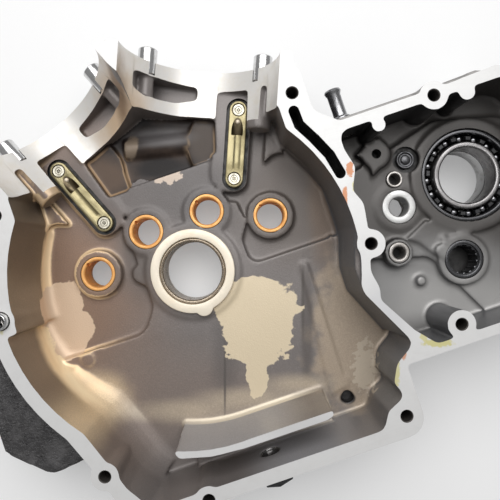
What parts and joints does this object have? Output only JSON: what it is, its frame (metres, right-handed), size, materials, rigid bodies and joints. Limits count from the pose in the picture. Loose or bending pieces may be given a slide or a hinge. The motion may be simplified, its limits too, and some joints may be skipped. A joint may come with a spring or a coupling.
{
  "type": "engine crankcase half",
  "caption": "Crankcase half of a V-twin engine with its crank chamber, gearbox chamber, cylinder decks, bearings and oil jets, seen on its split face.",
  "frame": {"origin": "centre of the half's footprint, on the plane of the cam cover face that it rests on", "axes": "+X from the crank towards the gearbox, +Y up the engine between the two cylinder decks, +Z out of the split face"},
  "size_m": [0.4198, 0.302, 0.09],
  "materials": {
    "cast_aluminium": "cast skin, oil stained, with machined faces",
    "bearing_bronze": "bored bronze",
    "ground_steel": "ground",
    "insert_steel": "turned",
    "plated_brass": "plated, satin",
    "screw_steel": "zinc plated",
    "dark_steel": "oiled, dark",
    "seal_rubber": "moulded",
    "washer_copper": "soft annealed"
  },
  "bodies": {
    "crankcase": {"cam_bush_1": "bearing_bronze", "cam_bush_2": "bearing_bronze", "cam_bush_3": "bearing_bronze", "cam_bush_4": "bearing_bronze", "crankcase_casting": "cast_aluminium", "detent_plug": "dark_steel", "drain_plug": "dark_steel", "drain_washer": "washer_copper", "drive_bearing_outer_ring": "ground_steel", "fork_rail_sleeve": "ground_steel", "front_case_dowel": "ground_steel", "front_deck_inner_dowel": "ground_steel", "front_deck_outer_dowel": "ground_steel", "front_jet_lower_screw": "screw_steel", "front_jet_upper_screw": "screw_steel", "front_oil_jet": "plated_brass", "gearbox_case_dowel": "ground_steel", "hose_nipple": "ground_steel", "main_bearing_insert": "insert_steel", "main_bearing_race": "ground_steel", "needle_bearing_cup": "ground_steel", "output_shaft_seal": "seal_rubber", "pivot_sleeve": "ground_steel", "rear_deck_inner_dowel": "ground_steel", "rear_deck_outer_dowel": "ground_steel", "rear_jet_lower_screw": "screw_steel", "rear_jet_upper_screw": "screw_steel", "rear_oil_jet": "plated_brass", "shift_shaft_bush": "ground_steel"},
    "drive_ring": {"drive_bearing_inner_ring": "ground_steel", "output_shaft_spacer": "ground_steel"},
    "drive_cage": {"drive_bearing_cage_and_balls": "dark_steel"},
    "needle_cage": {"needle_bearing_needles": "dark_steel"}
  },
  "joints": [
    {"name": "drive_ring_spin", "type": "hinge", "parent": "crankcase", "child": "drive_ring", "pos_m": [0.13626, -0.00129, 0.0425], "axis": [0, 0, 1], "continuous": true},
    {"name": "drive_cage_spin", "type": "hinge", "parent": "crankcase", "child": "drive_cage", "pos_m": [0.13626, -0.00129, 0.0425], "axis": [0, 0, 1], "continuous": true},
    {"name": "needle_cage_spin", "type": "hinge", "parent": "crankcase", "child": "needle_cage", "pos_m": [0.11526, -0.05369, 0.0433], "axis": [0, 0, 1], "continuous": true}
  ],
  "couplings": [
    {"joint": "drive_cage_spin", "follows": "drive_ring_spin", "ratio": 0.433}
  ]
}
